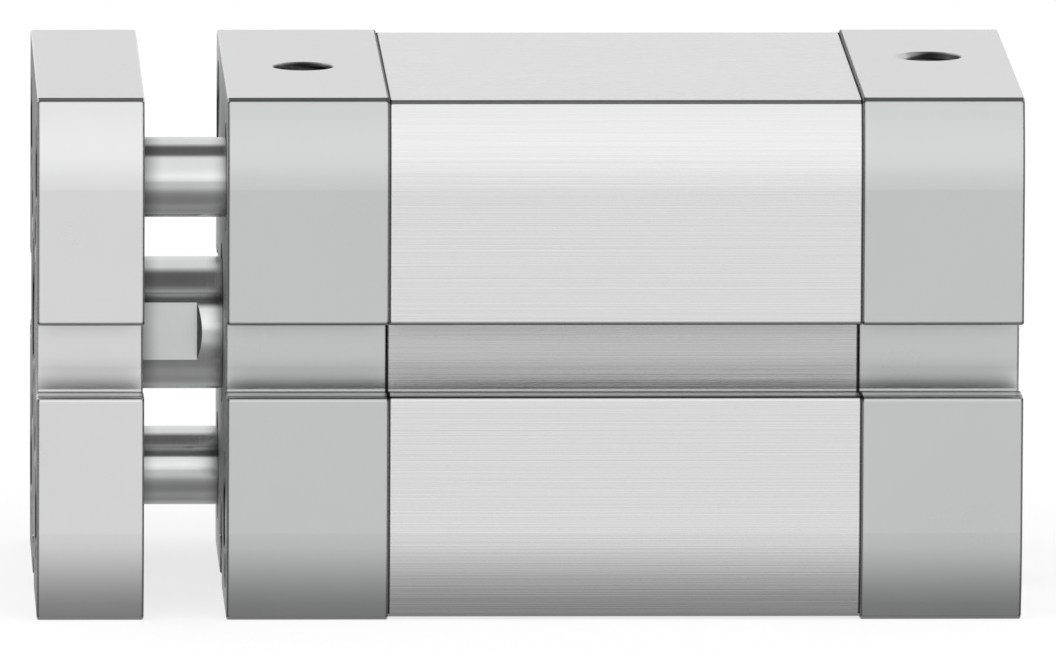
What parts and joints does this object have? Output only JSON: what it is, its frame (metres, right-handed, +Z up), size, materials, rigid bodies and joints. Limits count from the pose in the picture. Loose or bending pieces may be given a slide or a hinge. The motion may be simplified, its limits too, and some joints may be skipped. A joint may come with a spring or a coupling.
{
  "type": "compact pneumatic cylinder",
  "caption": "Square compact air cylinder with slotted barrel, two end caps and a yoke plate carried by the piston rod and diagonal guide rods.",
  "frame": {"origin": "centre of the end cap's rear face, on the cylinder's axis", "axes": "+X along the stroke, towards the yoke plate; +Z up, towards the air ports"},
  "size_m": [0.0738, 0.0396, 0.0396],
  "materials": {
    "anodised_aluminium": "satin anodised",
    "barrel_aluminium": "brushed along the stroke and anodised",
    "piston_aluminium": "turned",
    "rod_steel": "ground and polished",
    "screw_steel": "plain zinc",
    "bearing_bronze": "sintered",
    "seal_polyurethane": "matt",
    "seal_rubber": "matt",
    "magnet_plastic": "plastic-bonded magnet",
    "guide_ring_plastic": "natural"
  },
  "bodies": {
    "housing": {"end_cap": "anodised_aluminium", "barrel": "barrel_aluminium", "bearing_cap": "anodised_aluminium", "rear_collar_screws": "screw_steel", "front_collar_screws": "screw_steel", "rod_bearing_bush": "bearing_bronze", "rod_wiper_seal": "seal_polyurethane", "guide_bush_upper": "bearing_bronze", "guide_bush_lower": "bearing_bronze", "rear_cap_seal": "seal_rubber", "front_cap_seal": "seal_rubber", "rear_cushion_ring": "seal_polyurethane", "front_cushion_ring": "seal_polyurethane"},
    "slider": {"piston_rod": "rod_steel", "piston_rear_disc": "piston_aluminium", "piston_hub": "piston_aluminium", "piston_seal_rear": "seal_polyurethane", "piston_seal_front": "seal_polyurethane", "piston_magnet": "magnet_plastic", "piston_guide_ring": "guide_ring_plastic", "piston_screw": "screw_steel", "yoke_plate": "anodised_aluminium", "yoke_screw": "screw_steel", "guide_rod_upper": "rod_steel", "guide_rod_lower": "rod_steel", "guide_rod_screws": "screw_steel"}
  },
  "joints": [
    {"name": "stroke", "type": "slide", "parent": "housing", "child": "slider", "axis": [1, 0, 0], "range_m": [0, 0.02]}
  ]
}
